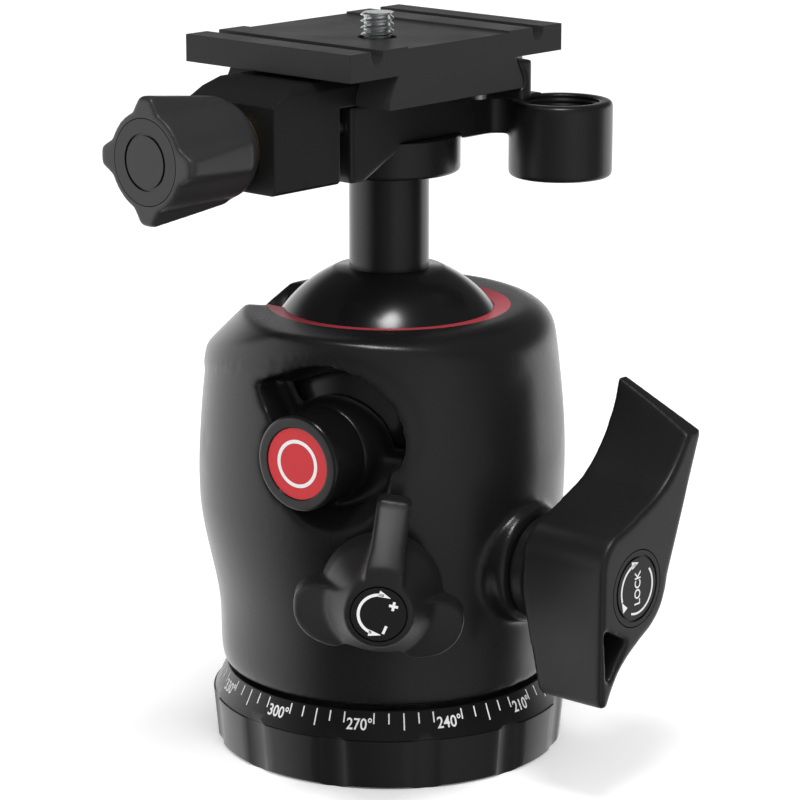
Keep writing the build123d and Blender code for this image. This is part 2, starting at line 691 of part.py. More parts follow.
# ---- friction knob --------------------------------------------------------------------------------
def friction_outline():
    """A finger and two wings that hang from it, mirrored about the finger."""
    half = friction_finger_w / 2
    hub = friction_cap_r + 1.0
    wing = friction_wing_reach
    low = friction_wing_low
    side = [
        Line((0, friction_reach), (half - 1.2, friction_reach)),
        ThreePointArc((half - 1.2, friction_reach), (half - 0.3, friction_reach - 0.4),
                      (half, friction_reach - 1.3)),
        Spline((half, friction_reach - 1.3), (half + 0.3, 9.0), (hub - 0.7, 4.6), (hub + 2.0, 2.2),
               (wing - 3.2, 1.6), tangents=((0, -1), (1, -0.25))),
        ThreePointArc((wing - 3.2, 1.6), (wing - 0.5, -0.2), (wing, -3.2)),
        Spline((wing, -3.2), (wing - 0.9, -6.6), (wing - 4.2, -low + 0.6), (wing - 9.0, -low),
               (0, -friction_middle_low), tangents=((0, -1), (-1, 0))),
    ]
    right = Wire(side)
    return make_face(Wire(side + right.mirror(Plane.YZ).edges()))


def make_friction():
    view = facing(friction_azimuth, friction_z)
    face = friction_face
    back = friction_back
    bell = [(0, back), (friction_bell_r, back), (friction_bell_r, back + 1.2)]
    bell += [(friction_bell_r - 0.8, back + 5.0), (friction_cap_r + 3.0, back + 11.0)]
    bell += [(friction_cap_r + 1.4, face)]
    bell = revolve(Plane.XZ * make_face(Polyline(*bell, (0, face), close=True)), Axis.Z)
    outer = friction_reach + 3
    front = [(0, back + 1.2), (outer, back + 1.2), (outer, face - friction_tip_drop)]
    front += [(friction_reach, face - friction_tip_drop), (friction_flat_r, face - 0.3), (0, face - 0.3)]
    front = revolve(Plane.XZ * make_face(Polyline(*front, close=True)), Axis.Z)
    finger_half = friction_finger_w / 2 + 0.4
    front &= block(-finger_half, finger_half, 0, outer, back, face)
    sides = [(0, back + 1.2), (outer, back + 1.2), (outer, face - friction_wing_drop)]
    sides += [(friction_wing_reach, face - friction_wing_drop)]
    sides += [(friction_crease_r, face - friction_crease_drop)]
    sides += [(friction_cap_r + 1.4, face - 0.4), (0, face - 0.4)]
    sides = revolve(Plane.XZ * make_face(Polyline(*sides, close=True)), Axis.Z)
    grip = extrude(Pos(0, 0, back) * friction_outline(), face - back) & (front + sides)
    knob = bell + Rot(0, 0, -friction_lean) * grip
    knob -= turned(friction_cap_r + 0.1, face - 1.2, face + 1)
    knob -= turned(friction_shaft_r + snug, back - 1, face - 1.2)
    nodes["friction_knob"] = view * knob
    nodes["friction_cap"] = view * turned(friction_cap_r, face - 1.1, face)
    shaft = turned(friction_shaft_r, bore_r - 2.0, face - 1.3)
    shaft += turned(friction_shaft_r + 1.2, bore_r - 2.2, bore_r - sliding)
    shaft += turned(friction_shaft_r - 0.6, friction_cam_end + 4, bore_r - 1.0)
    shaft += turned(friction_cam_r, friction_cam_end, friction_cam_end + 5, 0, -friction_cam_throw)
    nodes["friction_shaft"] = view * shaft
    bush_face = bore_r + friction_bush_len
    bush = turned(friction_shaft_r + bush_wall, bore_r, bush_face)
    nodes["friction_bush"] = view * (bush - turned(friction_shaft_r + running, bore_r - 2, bush_face + 1))


# ---- pan lock -------------------------------------------------------------------------------------
def make_pan_lock():
    view = facing(pan_azimuth, pan_z)
    knob = tapered(pan_knob_r - 0.8, pan_knob_r, pan_back, pan_face)
    knob = fillet(knob.edges().group_by(Axis.Z)[-1], 1.0)
    flute = turned(3.6, pan_back + 3.5, pan_face + 1)
    for index in range(pan_flutes):
        a = radians(360.0 * index / pan_flutes)
        knob -= Pos((pan_knob_r + 2.0) * cos(a), (pan_knob_r + 2.0) * sin(a), 0) * flute
    knob -= turned(pan_cap_r + 0.1, pan_face - 1.2, pan_face + 1)
    knob -= turned(pan_shaft_r + snug, pan_back - 1, pan_face - 1.2)
    nodes["pan_knob"] = view * knob
    nodes["pan_cap"] = view * turned(pan_cap_r, pan_face - 1.1, pan_face)
    pad_start = spindle_r + running
    shaft = turned(pan_shaft_r, pad_start + pad_t + 0.2, pan_face - 1.3)
    shaft += turned(pan_shaft_r + 1.2, bore_r - 2.1, bore_r - sliding)
    nodes["pan_shaft"] = view * shaft
    bush_face = bore_r + pan_bush_len
    bush = turned(pan_shaft_r + bush_wall, bore_r, bush_face)
    nodes["pan_bush"] = view * (bush - turned(pan_shaft_r + running, bore_r - 2, bush_face + 1))
    pad = Pos(0, 0, pad_start - 2) * Box(pad_w, pad_h, pad_t + 2, align=BOTTOM)
    nodes["pan_brake_pad"] = view * pad - disc(spindle_r + running, 0, rim_z)


# ---- selector -------------------------------------------------------------------------------------
def make_selector():
    view = facing(selector_azimuth, selector_z, selector_side)
    start = selector_face - selector_len
    knob = turned(selector_r, start, selector_face)
    knob = fillet(knob.edges().group_by(Axis.Z)[-1], 0.8)
    disc_seat = selector_face - selector_disc_t - 0.2
    knob -= turned(selector_disc_r + 0.1, disc_seat, selector_face + 1)
    head_seat = disc_seat - selector_screw_head_h - 0.3
    knob -= turned(selector_screw_head_r + 0.2, head_seat, selector_face)
    knob -= turned(selector_screw_r + running, start - 1, selector_face)
    nodes["selector_knob"] = view * knob
    nodes["selector_disc"] = view * turned(selector_disc_r, disc_seat, selector_face - 0.2)
    depth = sqrt(bore_r ** 2 - (abs(selector_side) - selector_screw_r) ** 2) + 0.3
    screw = turned(selector_screw_r, depth, head_seat + 0.2)
    head = turned(selector_screw_head_r, head_seat + 0.05, head_seat + selector_screw_head_h)
    nodes["selector_screw"] = view * (screw + head)


# ---- neck and clamp body --------------------------------------------------------------------------
def make_neck():
    stem = disc(neck_r, land_z + snug, flange_low + 1)
    stem = stem + disc(neck_stub_r, land_z - neck_stub_len, land_z + 1)
    flange = disc(flange_r, flange_low, flange_top)
    flange = fillet(flange.edges().group_by(Axis.Z)[0], 0.8)
    neck = stem + flange
    bolt_low = flange_top - clamp_bolt_bite
    neck -= disc(clamp_bolt_r + snug, bolt_low - 0.5, flange_top)
    nodes["neck"] = neck
    head_low = rail_z - clamp_bolt_head_h - clamp_bolt_sink
    bolt = disc(clamp_bolt_r, bolt_low, head_low + 0.5)
    bolt += disc(clamp_bolt_head_r, head_low, head_low + clamp_bolt_head_h)
    bolt -= Pos(0, 0, head_low + 2.0) * extrude(RegularPolygon(2.5, 6), clamp_bolt_head_h)
    nodes["clamp_bolt"] = bolt


def flank(side, gap):
    """Points of the clamping face of one jaw, from its foot to its lip."""
    half = dovetail_wide / 2 + gap
    lean = (dovetail_wide - dovetail_waist) / 2
    knee = plate_low + dovetail_foot
    lip_share = (rail_h - dovetail_foot - dovetail_gap) / dovetail_flare
    lip_y = half - lean * lip_share
    return [(dovetail_y + side * half, rail_z), (dovetail_y + side * half, knee),
            (dovetail_y + side * lip_y, rail_z + rail_h)]


def make_clamp():
    front = gap_y
    low = flange_top - apron_drop
    under = flange_top - apron_rise
    side = [(front, low), (apron_back, low), (apron_end, under), (slab_end, under)]
    side += [(slab_end, rail_z), (front, rail_z)]
    body = profile(side, Plane.YZ, clamp_w / 2, both=True)
    body -= disc(flange_r + snug, flange_low - 1, flange_top)
    body -= disc(clamp_bolt_r + snug, flange_top, rail_z)
    body -= disc(clamp_bolt_head_r + snug, rail_z - clamp_bolt_head_h - clamp_bolt_sink, rail_z)
    knob_plane = Plane(origin=(0, front, knob_z), z_dir=(0, 1, 0))
    body -= extrude(knob_plane * Circle(clamp_screw_r + running), clamp_screw_reach + 2)
    for side in (-1, 1):
        pin_plane = Plane(origin=(side * guide_spread / 2, front, rail_z - guide_drop), z_dir=(0, 1, 0))
        body -= extrude(pin_plane * Circle(guide_r + snug), guide_len / 2)
    nodes["clamp_body"] = body

    points = flank(1, dovetail_gap)
    points += [(rail_back_y - 1.2, rail_z + rail_h), (rail_back_y, rail_z + rail_h - 1.2)]
    points += [(rail_back_y, rail_z - rail_foot), (slab_end, rail_z - rail_foot), (slab_end, rail_z)]
    rail = extrude(Plane.YZ * make_face(Polyline(*points, close=True)), rail_len)
    well = Pos(ring_x, ring_y, ring_top) * Cylinder(boss_in_r + ring_well_gap, rail_z, align=BOTTOM)
    nodes["fixed_jaw"] = Pos(rail_start, 0, 0) * rail - well

    arm_high = rail_z - rail_foot
    arm_low = flange_top - apron_rise
    arm = block(-clamp_w / 2, clamp_w / 2, slab_end, ring_y, arm_low, arm_high)
    pitch = boss_out_r + arm_fillet
    side = ring_x - clamp_w / 2 - arm_fillet
    start = ring_y - sqrt(pitch ** 2 - side ** 2)
    corner = Pos(clamp_w / 2 + arm_fillet, start, 0)
    web_end = ring_x - side + side * arm_fillet / pitch
    web = block(clamp_w / 2 - 1, web_end, start, ring_y, arm_low, arm_high)
    boss = Pos(ring_x, ring_y, ring_top - boss_h) * Cylinder(boss_out_r, boss_h, align=BOTTOM)
    boss = fillet(boss.edges(), 0.9)
    ring = joined([arm, web, boss]) - corner * Cylinder(arm_fillet, 400)
    ring -= disc(flange_r + snug, flange_low - 1, flange_top)
    nodes["accessory_arm"] = ring - Pos(ring_x, ring_y, ring_top - boss_h) * Cylinder(
        boss_in_r, boss_h, align=BOTTOM)
    pins = []
    for side in (-1, 1):
        start = front - guide_len / 2
        pin_plane = Plane(origin=(side * guide_spread / 2, start, rail_z - guide_drop), z_dir=(0, 1, 0))
        pins.append(extrude(pin_plane * Circle(guide_r), guide_len - 0.5))
    nodes["jaw_guide_pins"] = pins


def make_jaw():
    back = gap_y - jaw_gap
    low = rail_z - jaw_drop
    lip = rail_z + sliding
    points = flank(-1, dovetail_gap)
    points[0] = (points[0][0], lip)
    points += [(jaw_front + 6.5, rail_z + rail_h), (jaw_front, rail_z + rail_h - jaw_shoulder)]
    points += [(jaw_front, low), (back, low), (back, lip)]
    jaw = extrude(Plane.YZ * make_face(Polyline(*points, close=True)), clamp_w / 2, both=True)
    for side in (-1, 1):
        edge = side * clamp_w / 2
        corner = ((edge, low - 1), (edge - side * 1.6, low - 1), (edge, low + 0.6))
        jaw -= profile(corner, Plane.XZ, 60, both=True)
        top = rail_z + rail_h
        corner = ((edge, top + 1), (edge - side * 2.4, top + 1), (edge, top - 1.6))
        jaw -= profile(corner, Plane.XZ, 60, both=True)
        pin_plane = Plane(origin=(side * guide_spread / 2, back, rail_z - guide_drop), z_dir=(0, -1, 0))
        jaw -= extrude(pin_plane * Circle(guide_r + running), guide_len / 2 - jaw_gap + 0.6)
    knob_plane = Plane(origin=(0, back, knob_z), z_dir=(0, -1, 0))
    jaw -= extrude(knob_plane * Circle(clamp_screw_r + freedom), jaw_depth)
    nodes["moving_jaw"] = jaw


def make_clamp_knob():
    view = Plane(origin=(0, jaw_front, knob_z), x_dir=(1, 0, 0), z_dir=(0, -1, 0))
    start = sliding + 0.9
    end = start + knob_len
    knob = turned(knob_body_r, start, end)
    knob = fillet(knob.edges().group_by(Axis.Z)[0], 2.4)
    rib = [(0, start + 0.8), (knob_start_r - 2.0, start + 0.8), (knob_start_r, start + 3.2)]
    rib += [(knob_end_r, end - 0.8), (knob_end_r - 0.6, end), (0, end)]
    envelope = revolve(Plane.XZ * make_face(Polyline(*rib, close=True)), Axis.Z)
    tip = knob_rib_tip / 2
    foot = knob_rib_foot / 2
    reach = knob_end_r + 1
    flank_r = sqrt(knob_body_r ** 2 - foot ** 2) - 0.3
    kite = [(0, -foot), (flank_r, -foot), (reach, -tip), (reach, tip), (flank_r, foot), (0, foot)]
    kite = profile(kite, Plane.XY, end + 1)
    for index in range(knob_ribs):
        knob += (Rot(0, 0, 360.0 * index / knob_ribs) * kite) & envelope
    knob -= turned(knob_cap_r + 0.1, end - knob_cap_t - 0.1, end + 1)
    knob -= turned(clamp_screw_r + snug, start - 1, end - knob_cap_t - 0.1)
    nodes["clamp_knob"] = view * knob
    cap = turned(knob_cap_r, end - knob_cap_t, end)
    groove = turned(knob_cap_r - 2.6, end - 0.35, end + 1) - turned(knob_cap_r - 3.1, end - 0.35, end + 1)
    nodes["clamp_knob_cap"] = view * (cap - groove)
    inner = -(jaw_depth + jaw_gap + clamp_screw_reach)
    nodes["clamp_screw"] = view * turned(clamp_screw_r, inner, end - knob_cap_t - 0.3)
    washer = turned(knob_body_r - 2.0, sliding, sliding + 0.8)
    nodes["thrust_washer"] = view * (washer - turned(clamp_screw_r + freedom, 0, 2))


# ---- quick-release plate --------------------------------------------------------------------------
def make_plate():
    half = dovetail_wide / 2
    waist = dovetail_waist / 2
    near = plate_y - plate_wide / 2
    far = plate_y + plate_wide / 2
    knee = plate_low + dovetail_foot
    points = [(dovetail_y - half, plate_low), (dovetail_y - half, knee), (dovetail_y - waist, wing_low)]
    points += [(near, wing_low), (near, plate_top), (far, plate_top), (far, wing_low)]
    points += [(dovetail_y + waist, wing_low), (dovetail_y + half, knee), (dovetail_y + half, plate_low)]
    plate = extrude(Plane.YZ * make_face(Polyline(*points, close=True)), plate_len / 2, both=True)
    plate = Pos(plate_x, 0, 0) * plate
    span = plate_len + 2
    for edge, inward in ((near, 1), (far, -1)):
        centre = edge + inward * (groove_inset + groove_w / 2)
        slot = Pos(plate_x, centre, plate_top - groove_depth + groove_w / 2)
        plate -= slot * (Rot(0, 90, 0) * Cylinder(groove_w / 2, span))
        plate -= slot * Box(span, groove_w, groove_w, align=BOTTOM)
    plate -= Pos(plate_x, 0, 0) * block(
        -span / 2, span / 2, near + pad_inset, far - pad_inset, plate_top - pad_rise, plate_top + 1)
    head_z = plate_low + camera_head_h + 1.2
    plate -= Pos(screw_x, screw_y, plate_low) * Cylinder(camera_head_r, head_z - plate_low, align=BOTTOM)
    plate -= Pos(screw_x, screw_y, plate_low) * Cylinder(camera_thread_r + screw_hole_gap, past, align=BOTTOM)
    stops = []
    for end in (-1, 1):
        x = plate_x + end * (plate_len / 2 - stop_inset)
        y = dovetail_y + stop_side
        stops.append(Pos(x, y, plate_low - stop_hang) * Cylinder(stop_r, stop_len, align=BOTTOM))
        plate -= Pos(x, y, plate_low) * Cylinder(stop_r + snug, stop_len - stop_hang + snug, align=BOTTOM)
    nodes["quick_plate"] = plate
    nodes["plate_stop_pins"] = stops
    head_low = head_z - camera_head_h - 0.1
    screw = Pos(screw_x, screw_y, head_low) * Cylinder(camera_head_r - 0.2, camera_head_h, align=BOTTOM)
    slot_cut = Pos(screw_x, screw_y, head_low) * Box(past, 1.6, 2.0)
    thread_low = plate_top + camera_shank_rise
    thread_h = plate_top - pad_rise + camera_thread_up - thread_low
    pin = Pos(screw_x, screw_y, thread_low) * Cylinder(camera_thread_r, thread_h, align=BOTTOM)
    pin = chamfer(pin.edges().group_by(Axis.Z)[-1], 0.6)
    pin += Pos(screw_x, screw_y, head_low + 1) * Cylinder(camera_shank_r, thread_low - head_low, align=BOTTOM)
    nodes["camera_screw"] = screw - slot_cut + pin


make_base()
make_housing()
make_lock()
make_lever()
make_friction()
make_pan_lock()
make_selector()
make_neck()
make_clamp()
make_jaw()
make_clamp_knob()
make_plate()

os.makedirs("parts", exist_ok=True)
for name, shape in nodes.items():
    items = shape if isinstance(shape, list) else [shape]
    solids = [solid for item in items for solid in item.solids()]
    export_step(Compound(children=solids), f"parts/{name}.step")
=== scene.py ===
"""A tripod ball head, put together from its base to its camera plate, in a white studio."""
import math

import bmesh
import bpy
from mathutils import Matrix, Vector


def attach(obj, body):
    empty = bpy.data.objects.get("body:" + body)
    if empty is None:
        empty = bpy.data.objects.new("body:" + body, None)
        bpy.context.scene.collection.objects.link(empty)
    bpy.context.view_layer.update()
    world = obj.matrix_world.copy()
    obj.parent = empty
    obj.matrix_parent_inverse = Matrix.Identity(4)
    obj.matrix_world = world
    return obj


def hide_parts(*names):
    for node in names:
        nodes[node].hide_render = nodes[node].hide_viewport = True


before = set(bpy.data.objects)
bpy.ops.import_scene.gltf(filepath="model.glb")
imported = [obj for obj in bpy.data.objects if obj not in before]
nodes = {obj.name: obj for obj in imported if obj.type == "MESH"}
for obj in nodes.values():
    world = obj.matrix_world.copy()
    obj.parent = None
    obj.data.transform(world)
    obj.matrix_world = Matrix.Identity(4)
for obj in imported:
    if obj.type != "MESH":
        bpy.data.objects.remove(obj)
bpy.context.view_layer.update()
to_metres, to_millimetres, same_point = 0.001, 1000, 0.000002

# ---- Studio --------------------------------------------------------------------------------------
# A white paper floor under an even white room, darker in front of the object, so that black metal
# shows pale rims and a dark middle. One round lamp hangs above and a little in front of the ball.
camera_data = bpy.data.cameras.new("camera")
camera_data.lens = 145.3
camera_data.sensor_width = 36.0
camera_data.shift_x = 0.0135
camera_data.clip_start = 0.05
camera = bpy.data.objects.new("camera", camera_data)
camera.location = (0.4186, -0.4563, 0.2263)
camera.rotation_euler = (math.radians(90 - 14.267), 0, math.radians(42.53))
bpy.context.scene.collection.objects.link(camera)
bpy.context.scene.camera = camera
bpy.context.scene.view_settings.view_transform = "Standard"

room = bpy.data.worlds.new("room")
bpy.context.scene.world = room
room.use_nodes = True
room_tree = room.node_tree
room_tree.nodes.clear()
room_out = room_tree.nodes.new("ShaderNodeOutputWorld")
ray_kind = room_tree.nodes.new("ShaderNodeLightPath")
heading = room_tree.nodes.new("ShaderNodeTexCoord")


def facing_share(direction, low, high):
    """How far a ray from the room comes from one side, as a value from 0 to 1."""
    dot = room_tree.nodes.new("ShaderNodeVectorMath")
    dot.operation = "DOT_PRODUCT"
    dot.inputs[1].default_value = direction
    room_tree.links.new(heading.outputs["Generated"], dot.inputs[0])
    share = room_tree.nodes.new("ShaderNodeMapRange")
    share.interpolation_type = "SMOOTHSTEP"
    share.inputs["From Min"].default_value = low
    share.inputs["From Max"].default_value = high
    room_tree.links.new(dot.outputs["Value"], share.inputs["Value"])
    return share.outputs["Result"]


def room_sum(kind, first, second):
    """One step of arithmetic between two values, each a number or a socket."""
    step = room_tree.nodes.new("ShaderNodeMath")
    step.operation = kind
    for socket, value in zip(step.inputs, (first, second)):
        if isinstance(value, float):
            socket.default_value = value
        else:
            room_tree.links.new(value, socket)
    return step.outputs["Value"]


left_wall = facing_share((-0.954, -0.30, 0.0), 0.25, 1.0)
back_paper = facing_share((-0.676, 0.737, 0.0), 0.22, 0.36)
front_room = facing_share((0.78, -0.60, 0.17), 0.60, 1.0)
front_paper = facing_share((0.914, -0.153, -0.375), 0.74, 0.97)
soft_side = facing_share((0.94, -0.28, 0.20), -0.70, 0.80)
under_ceiling = facing_share((0.0, 0.0, -1.0), -0.47, -0.14)
near_ground = facing_share((0.0, 0.0, -1.0), -0.25, 0.0)
side_level, front_level, paper_level, least_level = 1.35, 0.17, 0.28, 0.08
soft_gain, soft_least = 0.72, 0.42
left_part = room_sum("MULTIPLY", left_wall, under_ceiling)
back_part = room_sum("MULTIPLY", back_paper, near_ground)
bright_side = room_sum("MULTIPLY", room_sum("MAXIMUM", left_part, back_part), side_level)
mirrored = room_sum("ADD", bright_side, room_sum("MULTIPLY", front_room, front_level))
mirrored = room_sum("ADD", mirrored, room_sum("MULTIPLY", front_paper, paper_level))
mirrored = room_sum("ADD", mirrored, least_level)
is_seen = ray_kind.outputs["Is Camera Ray"]
is_gloss = ray_kind.outputs["Is Glossy Ray"]
mirror_part = room_sum("MULTIPLY", is_gloss, mirrored)
other_rays = room_sum("SUBTRACT", 1.0, room_sum("MAXIMUM", is_seen, is_gloss))
softness = room_sum("ADD", room_sum("MULTIPLY", soft_side, soft_gain), soft_least)
soft_part = room_sum("MULTIPLY", other_rays, softness)
strength = room_sum("ADD", room_sum("ADD", mirror_part, soft_part), is_seen)
air = room_tree.nodes.new("ShaderNodeBackground")
air.inputs["Color"].default_value = (1.0, 1.0, 1.0, 1.0)
room_tree.links.new(strength, air.inputs["Strength"])
room_tree.links.new(air.outputs["Background"], room_out.inputs["Surface"])

lamp_data = bpy.data.lights.new("round_lamp", "AREA")
lamp_data.shape = "DISK"
lamp_data.size = 0.28
lamp_data.energy = 4.4
lamp = bpy.data.objects.new("round_lamp", lamp_data)
lamp_aim = Vector((0.0, 0.0, 0.085))
lamp_from = Vector((0.24, -0.26, 0.96))
lamp.location = lamp_aim + lamp_from
lamp.rotation_euler = (-lamp_from).to_track_quat("-Z", "Y").to_euler()
bpy.context.scene.collection.objects.link(lamp)

floor_mesh = bpy.data.meshes.new("paper_floor")
sheet = bmesh.new()
bmesh.ops.create_circle(sheet, cap_ends=True, radius=5.0, segments=96)
sheet.to_mesh(floor_mesh)
sheet.free()
floor = bpy.data.objects.new("paper_floor", floor_mesh)
bpy.context.scene.collection.objects.link(floor)
paper = bpy.data.materials.new("white_paper")
paper.use_nodes = True
paper_tree = paper.node_tree
paper_tree.nodes.clear()
paper_out = paper_tree.nodes.new("ShaderNodeOutputMaterial")
matte = paper_tree.nodes.new("ShaderNodeBsdfDiffuse")
matte.inputs["Color"].default_value = (0.86, 0.86, 0.86, 1.0)
glow = paper_tree.nodes.new("ShaderNodeEmission")
paper_ray = paper_tree.nodes.new("ShaderNodeLightPath")
shown = paper_tree.nodes.new("ShaderNodeMath")
shown.operation = "MULTIPLY"
shown.inputs[1].default_value = 0.34
paper_tree.links.new(paper_ray.outputs["Is Camera Ray"], shown.inputs[0])
paper_tree.links.new(shown.outputs["Value"], glow.inputs["Strength"])
both = paper_tree.nodes.new("ShaderNodeAddShader")
paper_tree.links.new(matte.outputs["BSDF"], both.inputs[0])
paper_tree.links.new(glow.outputs["Emission"], both.inputs[1])
clear = paper_tree.nodes.new("ShaderNodeBsdfTransparent")
by_ray = paper_tree.nodes.new("ShaderNodeMixShader")
paper_tree.links.new(paper_ray.outputs["Is Glossy Ray"], by_ray.inputs["Fac"])
paper_tree.links.new(both.outputs["Shader"], by_ray.inputs[1])
paper_tree.links.new(clear.outputs["BSDF"], by_ray.inputs[2])
paper_tree.links.new(by_ray.outputs["Shader"], paper_out.inputs["Surface"])
floor_mesh.materials.append(paper)

# ---- Base ----------------------------------------------------------------------------------------
# A turned aluminium disc, anodised satin black, with twelve shallow flutes for the fingers and a
# steel thread insert pressed into its underside.


def noise(tree, scale, detail, roughness=0.5):
    """A cloudy texture fixed to the object, and its value."""
    place = tree.nodes.new("ShaderNodeTexCoord")
    cloud = tree.nodes.new("ShaderNodeTexNoise")
    cloud.inputs["Scale"].default_value = scale
    cloud.inputs["Detail"].default_value = detail
    cloud.inputs["Roughness"].default_value = roughness
    tree.links.new(place.outputs["Object"], cloud.inputs["Vector"])
    return cloud.outputs["Fac"]


def ranged(tree, value, low, high, from_low=0.0, from_high=1.0):
    """A value moved from one range to another."""
    step = tree.nodes.new("ShaderNodeMapRange")
    step.inputs["From Min"].default_value = from_low
    step.inputs["From Max"].default_value = from_high
    step.inputs["To Min"].default_value = low
    step.inputs["To Max"].default_value = high
    tree.links.new(value, step.inputs["Value"])
    return step.outputs["Result"]


def blended(tree, share, first, second):
    """Two colours mixed by a value."""
    colour = tree.nodes.new("ShaderNodeMix")
    colour.data_type = "RGBA"
    colour.inputs[6].default_value = (*first, 1.0)
    colour.inputs[7].default_value = (*second, 1.0)
    tree.links.new(share, colour.inputs[0])
    return colour.outputs[2]


def black_metal(name, shade, roughness, grain, depth, rounding, fleck=0.0, mottling=0.10,
                sheen=0.5):
    """Black coated metal. Grain is its texture's pitch and depth its height, both in millimetres,
    and rounding is the radius in millimetres that its edges seem to have."""
    finish = bpy.data.materials.new(name)
    finish.use_nodes = True
    tree = finish.node_tree
    shader = tree.nodes["Principled BSDF"]
    shader.inputs["IOR"].default_value = 1.5
    shader.inputs["Specular IOR Level"].default_value = sheen
    patches = noise(tree, 90.0, 4.0)
    least, most = roughness * (1 - mottling), roughness * (1 + mottling)
    tree.links.new(ranged(tree, patches, least, most, 0.3, 0.7), shader.inputs["Roughness"])
    specks = noise(tree, 1000.0 / grain, 2.5, 0.6)
    dark = (shade * 0.8, shade * 0.8, shade * 0.82)
    pale = (shade * 1.25 + fleck, shade * 1.25 + fleck, shade * 1.28 + fleck)
    tree.links.new(blended(tree, specks, dark, pale), shader.inputs["Base Color"])
    bump = tree.nodes.new("ShaderNodeBump")
    bump.inputs["Strength"].default_value = 1.0
    bump.inputs["Distance"].default_value = depth / 1000.0
    tree.links.new(specks, bump.inputs["Height"])
    if rounding > 0:
        edge = tree.nodes.new("ShaderNodeBevel")
        edge.samples = 6
        edge.inputs["Radius"].default_value = rounding / 1000.0
        tree.links.new(edge.outputs["Normal"], bump.inputs["Normal"])
    tree.links.new(bump.outputs["Normal"], shader.inputs["Normal"])
    return finish


def creased(shape, angle):
    """Keeps the edges sharper than an angle in degrees crisp under smooth shading."""
    for edge in shape.edges:
        folded = len(edge.link_faces) == 2 and edge.calc_face_angle(0.0) > math.radians(angle)
        edge.smooth = not folded


def dressed(node, finish, body, angle=32.0):
    """A closed, smooth-shaded copy of a solid, which stands in for it and wears the finish."""
    mesh = nodes[node].data.copy()
    shape = bmesh.new()
    shape.from_mesh(mesh)
    bmesh.ops.remove_doubles(shape, verts=shape.verts, dist=same_point)
    for face in shape.faces:
        face.smooth = True
    creased(shape, angle)
    shape.to_mesh(mesh)
    shape.free()
    mesh.materials.clear()
    mesh.materials.append(finish)
    piece = bpy.data.objects.new(node + "_dressed", mesh)
    bpy.context.scene.collection.objects.link(piece)
    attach(piece, body)
    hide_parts(node)
    return piece


base_coat = black_metal("anodised_base", 0.0065, 0.36, 0.5, 0.004, 0.35)
dressed("base_plate", base_coat, "base")


def bright_metal(name, tint, roughness):
    """Machined or plated metal with a faint turned texture."""
    finish = bpy.data.materials.new(name)
    finish.use_nodes = True
    tree = finish.node_tree
    shader = tree.nodes["Principled BSDF"]
    shader.inputs["Metallic"].default_value = 1.0
    turning = noise(tree, 1000.0 / 0.4, 3.0)
    wear = ranged(tree, turning, roughness * 0.75, roughness * 1.3)
    tree.links.new(wear, shader.inputs["Roughness"])
    dark = (tint[0] * 0.9, tint[1] * 0.9, tint[2] * 0.9)
    tree.links.new(blended(tree, turning, dark, tint), shader.inputs["Base Color"])
    bump = tree.nodes.new("ShaderNodeBump")
    bump.inputs["Distance"].default_value = 0.000008
    tree.links.new(turning, bump.inputs["Height"])
    tree.links.new(bump.outputs["Normal"], shader.inputs["Normal"])
    return finish


def recoated(names, finish):
    """Gives another finish to solids that are shown as they are."""
    for name in names:
        nodes[name].data.materials.clear()
        nodes[name].data.materials.append(finish)


machined_steel = bright_metal("machined_steel", (0.55, 0.55, 0.56), 0.3)
bearing_bronze = bright_metal("bearing_bronze", (0.62, 0.43, 0.2), 0.35)
pale_aluminium = bright_metal("pale_aluminium", (0.72, 0.72, 0.73), 0.32)
steel_pieces = ["thread_insert", "pan_spindle", "spindle_screws", "floor_screws", "lock_wedge"]
steel_pieces += ["pressure_ring", "lock_shaft", "lever_screw", "friction_shaft", "pan_shaft"]
steel_pieces += ["selector_screw", "clamp_bolt", "jaw_guide_pins", "clamp_screw", "plate_stop_pins"]
recoated(steel_pieces, machined_steel)
bronze_pieces = ["bearing_washer", "lever_bush", "friction_bush", "pan_bush", "thrust_washer"]
recoated(bronze_pieces, bearing_bronze)
recoated(["wedge_bridge", "spindle_nut"], pale_aluminium)

# ---- Pan scale -----------------------------------------------------------------------------------
# A conical ring, black anodised, with printed white degree marks: a stroke every five degrees, a
# longer one half way between the numbers, and a number with its degree sign every thirty.
scale_coat = black_metal("anodised_scale", 0.004, 0.32, 0.5, 0.004, 0.3)
dressed("scale_ring", scale_coat, "base")


def moulded(name, tint, roughness):
    """Plastic or paint: an even colour with a slight cloudiness and a very fine skin."""
    finish = bpy.data.materials.new(name)
    finish.use_nodes = True
    tree = finish.node_tree
    shader = tree.nodes["Principled BSDF"]
    skin = noise(tree, 1000.0 / 0.3, 3.0)
    dark, pale = [0.92 * c for c in tint], [min(1.0, 1.08 * c) for c in tint]
    tree.links.new(blended(tree, skin, dark, pale), shader.inputs["Base Color"])
    tone = ranged(tree, skin, roughness * 0.9, roughness * 1.1)
    tree.links.new(tone, shader.inputs["Roughness"])
    bump = tree.nodes.new("ShaderNodeBump")
    bump.inputs["Distance"].default_value = 0.003 / 1000.0
    tree.links.new(skin, bump.inputs["Height"])
    tree.links.new(bump.outputs["Normal"], shader.inputs["Normal"])
    return finish


white_print = moulded("white_print", (0.80, 0.80, 0.80), 0.55)


def flat_text(words, size):
    """Lettering as a flat mesh in millimetres, centred on its own middle."""
    curve = bpy.data.curves.new("lettering", "FONT")
    curve.body = words
    curve.size = size
    curve.align_x = "CENTER"
    curve.offset = size * 0.012
    holder = bpy.data.objects.new("lettering", curve)
    mesh = bpy.data.meshes.new_from_object(holder)
    bpy.data.objects.remove(holder)
    shape = bmesh.new()
    shape.from_mesh(mesh)
    return shape


def resized(shape, factor):
    """Scales a shape about the origin."""
    bmesh.ops.scale(shape, verts=shape.verts, vec=(factor, factor, factor))


